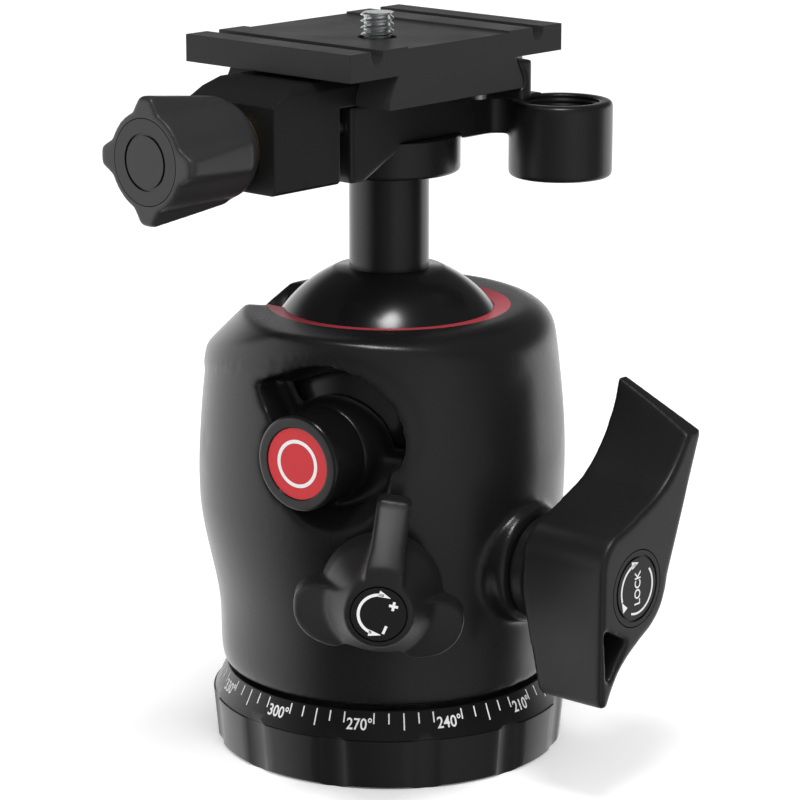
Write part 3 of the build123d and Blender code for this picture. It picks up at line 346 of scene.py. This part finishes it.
def added(shape, other):
    """Adds another shape to a shape and frees the other."""
    mesh = bpy.data.meshes.new("added")
    other.to_mesh(mesh)
    other.free()
    shape.from_mesh(mesh)
    bpy.data.meshes.remove(mesh)


def finished(shape, name, finish, body, smooth=True):
    """Turns a shape in millimetres into a piece that rides on a body."""
    resized(shape, to_metres)
    for face in shape.faces:
        face.smooth = smooth
    mesh = bpy.data.meshes.new(name)
    shape.to_mesh(mesh)
    shape.free()
    mesh.materials.append(finish)
    piece = bpy.data.objects.new(name, mesh)
    bpy.context.scene.collection.objects.link(piece)
    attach(piece, body)
    return piece


cone_foot_r, cone_top_r, cone_foot_z, cone_rise = 35.15, 32.5, 10.1, 5.3
slant = math.hypot(cone_foot_r - cone_top_r, cone_rise)
scale_print = bmesh.new()


def onto_cone(shape, azimuth):
    """Wraps a flat shape round the scale's cone: x goes round, y down from the top edge."""
    for vert in shape.verts:
        down = -vert.co.y
        r = cone_top_r + (cone_foot_r - cone_top_r) * down / slant
        z = cone_foot_z + cone_rise * (1 - down / slant)
        a = math.radians(azimuth) + vert.co.x / (cone_top_r + 1.2)
        out = r + 0.03
        vert.co = Vector((out * math.sin(a), -out * math.cos(a), z + 0.015))
    added(scale_print, shape)


for value in range(0, 360, 5):
    azimuth = 302.5 - value
    if value % 30 == 0:
        number = flat_text(str(value) + "°", 3.15)
        bmesh.ops.scale(number, verts=number.verts, vec=(0.86, 1.0, 1.0))
        bmesh.ops.translate(number, verts=number.verts, vec=(0.15, -3.75, 0))
        onto_cone(number, azimuth)
    else:
        length = 3.3 if value % 15 == 0 else 2.1
        stroke = bmesh.new()
        bmesh.ops.create_grid(stroke, x_segments=1, y_segments=2, size=0.5)
        bmesh.ops.scale(stroke, verts=stroke.verts, vec=(0.26, length, 1.0))
        bmesh.ops.translate(stroke, verts=stroke.verts, vec=(0, -0.45 - length / 2, 0))
        onto_cone(stroke, azimuth)
bmesh.ops.solidify(scale_print, geom=scale_print.faces[:], thickness=0.05)
bmesh.ops.recalc_face_normals(scale_print, faces=scale_print.faces)
finished(scale_print, "scale_print", white_print, "base", smooth=False)

# ---- Pan bearing and brake -----------------------------------------------------------------------
# The housing turns on an acetal washer and is held down by a nut on the steel spindle.
acetal = moulded("natural_acetal", (0.78, 0.76, 0.70), 0.45)
recoated(["glide_washer", "ball_cup", "pan_brake_pad"], acetal)

# ---- Housing -------------------------------------------------------------------------------------
# A die-cast aluminium barrel with the soft edges of its mould, bored out for the ball and the
# bushes, and finished in a fine matte black powder coat, which the closing plate below has too.
housing_low, ledge_z, lip_z, rim_z = 16.2, 21.02, 86.3, 88.5
ledge_r, bore_r, mouth_r = 31.4, 27.0, 23.9
ball_z, notch_azimuth, notch_rise = 72.1, -70.0, 20.0
notch_half_width, notch_start, notch_end = 8.55, 18.0, 29.5
lever_azimuth, lever_z, friction_azimuth, friction_z = 92.5, 42.2, 40.5, 42.0
pan_azimuth, pan_z, selector_azimuth, selector_z, selector_tip = 200.0, 29.95, 7.0, 65.3, 6.2
floor_screw_azimuth, floor_screw_ring, floor_screw_top = 56, 29.0, 26.2


def control_place(azimuth, height, out, side=0.0, turn=0.0):
    """Where a control stands: x to its right, y up and z straight out of the housing."""
    a = math.radians(azimuth)
    right = Vector((math.cos(a), math.sin(a), 0))
    ahead = Vector((math.sin(a), -math.cos(a), 0))
    place = Matrix((right, Vector((0, 0, 1)), ahead)).transposed().to_4x4()
    place.translation = right * side + ahead * out + Vector((0, 0, height))
    return place @ Matrix.Rotation(math.radians(turn), 4, "Z")


def plug(place, radius, depth, sides=96):
    """A closed cylinder in millimetres, whose outer end stands at the place."""
    shape = bmesh.new()
    middle = place @ Matrix.Translation((0, 0, -depth / 2))
    bmesh.ops.create_cone(shape, cap_ends=True, segments=sides, radius1=radius, radius2=radius,
                          depth=depth, matrix=middle)
    return shape


def plugs(holes, spare=0.0):
    """Closed cylinders for holes of a place, radius and depth, larger all round by the spare."""
    shape = bmesh.new()
    for place, radius, depth in holes:
        end = place @ Matrix.Translation((0, 0, spare))
        added(shape, plug(end, radius + spare, depth + 2 * spare, 64))
    return shape


def worked(piece, kind, **settings):
    """Runs one modifier on a piece and keeps its result as the piece's mesh."""
    step = piece.modifiers.new(kind.lower(), kind)
    for key, value in settings.items():
        setattr(step, key, value)
    bpy.context.view_layer.update()
    seen = piece.evaluated_get(bpy.context.evaluated_depsgraph_get())
    mesh = bpy.data.meshes.new_from_object(seen)
    piece.modifiers.clear()
    piece.data = mesh


def softened(name, parts, finish, body, voxel, passes, fills=(), cuts=(), angle=35.0):
    """One casting from its solids: melted together, relaxed until its edges are round, then cut."""
    shape = bmesh.new()
    for part in parts:
        shape.from_mesh(nodes[part].data)
    bmesh.ops.remove_doubles(shape, verts=shape.verts, dist=same_point)
    resized(shape, to_millimetres)
    for fill in fills:
        added(shape, fill)
    piece = finished(shape, name, finish, body)
    worked(piece, "REMESH", mode="VOXEL", voxel_size=voxel / 1000, adaptivity=0.0)
    relaxed = bmesh.new()
    relaxed.from_mesh(piece.data)
    for relaxing in range(passes):
        bmesh.ops.smooth_vert(relaxed, verts=relaxed.verts, factor=0.5, use_axis_x=True,
                              use_axis_y=True, use_axis_z=True)
    relaxed.to_mesh(piece.data)
    relaxed.free()
    for cut in cuts:
        resized(cut, to_metres)
        tool_mesh = bpy.data.meshes.new("cutter")
        cut.to_mesh(tool_mesh)
        cut.free()
        tool = bpy.data.objects.new("cutter", tool_mesh)
        bpy.context.scene.collection.objects.link(tool)
        worked(piece, "BOOLEAN", operation="DIFFERENCE", object=tool, solver="EXACT")
        bpy.data.objects.remove(tool)
    shape = bmesh.new()
    shape.from_mesh(piece.data)
    for face in shape.faces:
        face.smooth = True
        face.material_index = 0
    creased(shape, angle)
    shape.to_mesh(piece.data)
    shape.free()
    piece.data.materials.clear()
    piece.data.materials.append(finish)
    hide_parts(*parts)
    return piece


def turned(points, steps):
    """A closed shape turned about the upright axis from points of radius and height."""
    shape = bmesh.new()
    line = [shape.verts.new((r, 0, z)) for r, z in points]
    for first, second in zip(line, line[1:]):
        shape.edges.new((first, second))
    bmesh.ops.spin(shape, geom=shape.verts[:] + shape.edges[:], cent=(0, 0, 0), axis=(0, 0, 1),
                   angle=math.tau, steps=steps, use_merge=True)
    bmesh.ops.remove_doubles(shape, verts=shape.verts, dist=0.001)
    bmesh.ops.recalc_face_normals(shape, faces=shape.faces)
    return shape


def bore_shape(spare):
    """The stepped bore, from below the closing plate up through the mouth."""
    foot, wall, top = housing_low - spare, bore_r + spare, rim_z + spare
    return turned([(0, foot), (ledge_r, foot), (ledge_r, ledge_z), (wall, ledge_z), (wall, lip_z),
                   (mouth_r, lip_z), (mouth_r, top), (0, top)], 160)


def slot_shape(half, start, end):
    """The portrait notch near the bore: straight sides over a round bottom, along the notch."""
    shape = bmesh.new()
    rim_points = [(half, notch_rise)]
    for step in range(25):
        a = math.pi * step / 24
        rim_points.append((half * math.cos(a), -half * math.sin(a)))
    rim_points.append((-half, notch_rise))
    outline = shape.faces.new([shape.verts.new((x, y, start)) for x, y in rim_points])
    pushed = bmesh.ops.extrude_face_region(shape, geom=[outline])["geom"]
    ahead = [item for item in pushed if isinstance(item, bmesh.types.BMVert)]
    bmesh.ops.translate(shape, verts=ahead, vec=(0, 0, end - start))
    bmesh.ops.transform(shape, matrix=control_place(notch_azimuth, ball_z, 0.0), verts=shape.verts)
    bmesh.ops.recalc_face_normals(shape, faces=shape.faces)
    return shape


selector_screw_place = control_place(selector_azimuth, selector_z, 29.5, selector_tip)
bush_holes = [(control_place(lever_azimuth, lever_z, 37.7), 6.42, 14),
              (control_place(friction_azimuth, friction_z, 36.0), 5.42, 12),
              (control_place(pan_azimuth, pan_z, 34.0), 4.92, 10),
              (selector_screw_place, 1.52, 6)]
for quarter in range(4):
    bearing = Matrix.Rotation(math.radians(floor_screw_azimuth + 90 * quarter), 4, "Z")
    screw_place = bearing @ Matrix.Translation((floor_screw_ring, 0, floor_screw_top))
    bush_holes.append((screw_place, 1.27, 9))
powder_coat = black_metal("powder_coat", 0.0065, 0.29, 0.40, 0.026, 0.0, fleck=0.002)
notch = slot_shape(notch_half_width, notch_start, notch_end)
softened("housing_casting", ["housing"], powder_coat, "housing", 0.52, 14,
         fills=[bore_shape(0.0), plugs(bush_holes)],
         cuts=[bore_shape(0.15), plugs(bush_holes, 0.05), notch], angle=38.0)
dressed("floor_plate", powder_coat, "housing")

# ---- Ball and its seat ---------------------------------------------------------------------------
# A polished black ball between the acetal cup below and the red ring above, with a flat on top
# where the neck starts.
seat_paint = moulded("red_seat_paint", (0.50, 0.05, 0.07), 0.35)
dressed("seat_ring", seat_paint, "housing")
polish = black_metal("polished_black", 0.006, 0.21, 0.9, 0.0006, 0.0, mottling=0.04)
ball_r, flat_rise = 26.1, 23.8
ball = bmesh.new()
bmesh.ops.create_uvsphere(ball, u_segments=192, v_segments=128, radius=ball_r)
cut = bmesh.ops.bisect_plane(ball, geom=ball.verts[:] + ball.edges[:] + ball.faces[:],
                             plane_co=(0, 0, flat_rise), plane_no=(0, 0, 1), clear_outer=True)
rim = [e for e in cut["geom_cut"] if isinstance(e, bmesh.types.BMEdge)]
bmesh.ops.holes_fill(ball, edges=rim)
bmesh.ops.translate(ball, verts=ball.verts, vec=(0, 0, ball_z))
ball_piece = finished(ball, "polished_ball", polish, "ball")
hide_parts("ball")

# ---- Neck ----------------------------------------------------------------------------------------
# A turned steel neck, blacked, with a round flange that carries the clamp.
neck_coat = black_metal("blacked_neck", 0.005, 0.27, 0.6, 0.002, 0.4)
dressed("neck", neck_coat, "clamp")

# ---- Lock lever ----------------------------------------------------------------------------------
# A cast lever with two fingers, its edges run soft in the mould, screwed to the lock shaft. A
# printed cap with two ring grooves covers the screw.
lever_face, lever_cap_r = 60.9, 7.4
print_gap, print_rise = 0.005, 0.04


def arc_band(radius, width, start, sweep, steps=40):
    """A flat band along an arc, in millimetres and degrees."""
    shape = bmesh.new()
    inner = shape.verts.new((radius - width / 2, 0, 0))
    outer = shape.verts.new((radius + width / 2, 0, 0))
    shape.edges.new((inner, outer))
    bmesh.ops.rotate(shape, verts=shape.verts, cent=(0, 0, 0),
                     matrix=Matrix.Rotation(math.radians(start), 3, "Z"))
    bmesh.ops.spin(shape, geom=shape.verts[:] + shape.edges[:], cent=(0, 0, 0), axis=(0, 0, 1),
                   angle=math.radians(sweep), steps=steps)
    return shape


def flat_bar(length, width, x=0.0, y=0.0, turn=0.0, taper=1.0):
    """A flat bar about its middle, which may narrow towards its end."""
    shape = bmesh.new()
    bmesh.ops.create_grid(shape, x_segments=1, y_segments=1, size=0.5)
    for vert in shape.verts:
        vert.co.y *= width * (taper if vert.co.x > 0 else 1.0)
        vert.co.x *= length
    bmesh.ops.rotate(shape, verts=shape.verts, cent=(0, 0, 0),
                     matrix=Matrix.Rotation(math.radians(turn), 3, "Z"))
    bmesh.ops.translate(shape, verts=shape.verts, vec=(x, y, 0))
    return shape


def printed(name, marks, place, body):
    """Flat marks as one thin white print that lies on a face."""
    sheet = bmesh.new()
    for mark in marks:
        added(sheet, mark)
    top = bmesh.ops.extrude_face_region(sheet, geom=sheet.faces[:])["geom"]
    raised = [item for item in top if isinstance(item, bmesh.types.BMVert)]
    bmesh.ops.translate(sheet, verts=raised, vec=(0, 0, print_rise))
    bmesh.ops.transform(sheet, matrix=place, verts=sheet.verts)
    bmesh.ops.recalc_face_normals(sheet, faces=sheet.faces)
    return finished(sheet, name, white_print, body, smooth=False)


lever_coat = black_metal("lever_coat", 0.0085, 0.40, 0.45, 0.010, 0.0, fleck=0.001)
lever_mouth = control_place(lever_azimuth, lever_z, lever_face)
lever_seat = control_place(lever_azimuth, lever_z, lever_face + 1.0)
softened("lever_casting", ["lock_lever"], lever_coat, "lever", 0.32, 12,
         fills=[plug(lever_mouth, lever_cap_r + 0.6, 1.9)],
         cuts=[plug(lever_seat, lever_cap_r + 0.2, 2.7)])
cap_plastic = moulded("cap_plastic", (0.006, 0.006, 0.0065), 0.30)
dressed("lever_cap", cap_plastic, "lever")
lever_marks = [arc_band(4.9, 0.42, 96, 104), arc_band(4.9, 0.42, 250, 150)]
lever_marks += [flat_bar(2.0, 1.5, -4.15, -2.65, 122, 0.05),
                flat_bar(2.0, 1.5, -0.75, 4.95, 8, 0.05)]
word = flat_text("LOCK", 2.5)
bmesh.ops.rotate(word, verts=word.verts, cent=(0, 0, 0),
                 matrix=Matrix.Rotation(math.radians(90), 3, "Z"))
bmesh.ops.translate(word, verts=word.verts, vec=(1.0, 0, 0))
lever_marks.append(word)
lever_sheet = control_place(lever_azimuth, lever_z, lever_face + print_gap)
printed("lever_cap_print", lever_marks, lever_sheet, "lever")

# ---- Friction knob -------------------------------------------------------------------------------
# A moulded knob with one upright finger and two hanging wings that flow into each other, with a cap
# printed with a turning arrow, a plus and a minus.
friction_face, friction_cap_r = 54.3, 5.1
knob_plastic = black_metal("knob_plastic", 0.0085, 0.42, 0.45, 0.010, 0.0, fleck=0.001)
friction_mouth = control_place(friction_azimuth, friction_z, friction_face)
friction_seat = control_place(friction_azimuth, friction_z, friction_face + 1.0)
softened("friction_grip", ["friction_knob"], knob_plastic, "friction", 0.28, 24,
         fills=[plug(friction_mouth, friction_cap_r + 0.5, 1.5)],
         cuts=[plug(friction_seat, friction_cap_r + 0.3, 2.2)])
dressed("friction_cap", cap_plastic, "friction")
friction_marks = [arc_band(3.75, 0.55, 75, 175)]
friction_marks += [flat_bar(2.3, 1.25, 1.15, 3.55, -24, 0.05),
                   flat_bar(2.3, 1.25, -0.75, -3.75, -12, 0.05)]
friction_marks += [flat_bar(1.7, 0.5, 2.75, 1.55, -12), flat_bar(0.6, 0.5, 2.87, 2.1, 78)]
friction_marks += [flat_bar(0.6, 0.5, 2.63, 1.0, 78), flat_bar(1.6, 0.5, 1.1, -3.0, 66)]
friction_sheet = control_place(friction_azimuth, friction_z, friction_face + print_gap)
printed("friction_cap_print", friction_marks, friction_sheet, "friction")

# ---- Pan lock knob -------------------------------------------------------------------------------
# A small fluted knob low on the far side.
dressed("pan_knob", knob_plastic, "pan_lock")
dressed("pan_cap", cap_plastic, "pan_lock")

# ---- Selector ------------------------------------------------------------------------------------
# A glossy round button in a recess, with a red disc let into its face and a plain printed ring.
gloss_black = black_metal("selector_gloss", 0.005, 0.2, 0.6, 0.002, 0.4)
dressed("selector_knob", gloss_black, "selector")
red_disc = moulded("red_disc_paint", (0.56, 0.018, 0.026), 0.45)
dressed("selector_disc", red_disc, "selector")
selector_sheet = control_place(selector_azimuth, selector_z, 38.305, selector_tip)
printed("selector_print", [arc_band(4.3, 0.7, 0, 360, 72)], selector_sheet, "selector")

# ---- Clamp ---------------------------------------------------------------------------------------
# A cast clamp body with a rail that holds the plate and an arm that carries the accessory ring. The
# ring is threaded inside. The second jaw slides on two pins.
ring_x, ring_y, ring_top, ring_h, ring_r = 19.7, 28.3, 127.6, 15.0, 7.5
rise, thread_depth = 1.0, 0.28
thread_points = [(0, ring_top - ring_h - 2)]
for turn in range(int(ring_h - 1)):
    foot = ring_top - ring_h + 0.6 + turn * rise
    thread_points += [(ring_r, foot), (ring_r + thread_depth, foot + rise / 2)]
thread_points += [(ring_r, ring_top - 0.2), (0, ring_top + 2)]
ring_thread = turned(thread_points, 72)
bmesh.ops.translate(ring_thread, verts=ring_thread.verts, vec=(ring_x, ring_y, 0))
cast_black = black_metal("cast_black", 0.0065, 0.34, 0.45, 0.006, 0.0, fleck=0.001)
softened("clamp_casting", ["clamp_body", "fixed_jaw", "accessory_arm"], cast_black, "clamp",
         0.34, 7, cuts=[ring_thread])
jaw_coat = black_metal("jaw_coat", 0.0085, 0.38, 0.45, 0.006, 0.5, fleck=0.001, sheen=0.3)
dressed("moving_jaw", jaw_coat, "jaw", angle=30.0)

# ---- Clamp knob ----------------------------------------------------------------------------------
# A moulded knob with four ribs that fade towards the jaw, on the clamp screw. A cap closes its
# outer end.
knob_z, knob_end, knob_cap_r = 124.9, 64.8, 7.9
grip_plastic = black_metal("grip_plastic", 0.022, 0.44, 0.45, 0.010, 0.0, fleck=0.002)
softened("clamp_grip", ["clamp_knob"], grip_plastic, "clamp_knob", 0.28, 14,
         fills=[plug(control_place(0, knob_z, knob_end), knob_cap_r + 0.4, 1.7)],
         cuts=[plug(control_place(0, knob_z, knob_end + 1.0), knob_cap_r + 0.15, 2.5)])
dressed("clamp_knob_cap", cap_plastic, "clamp_knob")

# ---- Quick-release plate -------------------------------------------------------------------------
# An extruded aluminium plate with a dovetail foot, two grooves and a flat pad, and its 1/4 inch
# screw, zinc plated and threaded.
plate_coat = black_metal("plate_anodising", 0.026, 0.42, 0.4, 0.004, 0.25, sheen=0.15)
dressed("quick_plate", plate_coat, "plate", angle=30.0)
zinc = bright_metal("zinc_plating", (0.80, 0.83, 0.83), 0.22)
screw_x, screw_y, thread_low, thread_high, pitch = 4.5, -8.2, 142.65, 147.0, 1.27
thread_r, root_r = 3.175, 2.55
thread = bmesh.new()
tooth = [(root_r, 0.0), (thread_r, 0.42), (thread_r, 0.56), (root_r, 0.98), (root_r, pitch)]
chain = [thread.verts.new((r, 0, thread_low - 2 * pitch + z)) for r, z in tooth]
for first, second in zip(chain, chain[1:]):
    thread.edges.new((first, second))
turn_steps, turns = 48, 7
bmesh.ops.spin(thread, geom=thread.verts[:] + thread.edges[:], cent=(0, 0, 0), axis=(0, 0, 1),
               dvec=(0, 0, pitch / turn_steps), angle=math.tau * turns, steps=turn_steps * turns)
bmesh.ops.remove_doubles(thread, verts=thread.verts, dist=0.001)
for level, side in ((thread_low, -1), (thread_high, 1)):
    bmesh.ops.bisect_plane(thread, geom=thread.verts[:] + thread.edges[:] + thread.faces[:],
                           plane_co=(0, 0, level), plane_no=(0, 0, side), clear_outer=True)
bmesh.ops.holes_fill(thread, edges=[edge for edge in thread.edges if edge.is_boundary])
bmesh.ops.recalc_face_normals(thread, faces=thread.faces)
bmesh.ops.translate(thread, verts=thread.verts, vec=(screw_x, screw_y, 0))
shank = bmesh.new()
shank.from_mesh(nodes["camera_screw"].data)
bmesh.ops.remove_doubles(shank, verts=shank.verts, dist=same_point)
resized(shank, to_millimetres)
bmesh.ops.bisect_plane(shank, geom=shank.verts[:] + shank.edges[:] + shank.faces[:],
                       plane_co=(0, 0, thread_low - 0.02), plane_no=(0, 0, 1), clear_outer=True)
bmesh.ops.holes_fill(shank, edges=[edge for edge in shank.edges if edge.is_boundary])
added(thread, shank)
creased(thread, 30.0)
screw_piece = finished(thread, "threaded_screw", zinc, "camera_screw")
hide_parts("camera_screw")
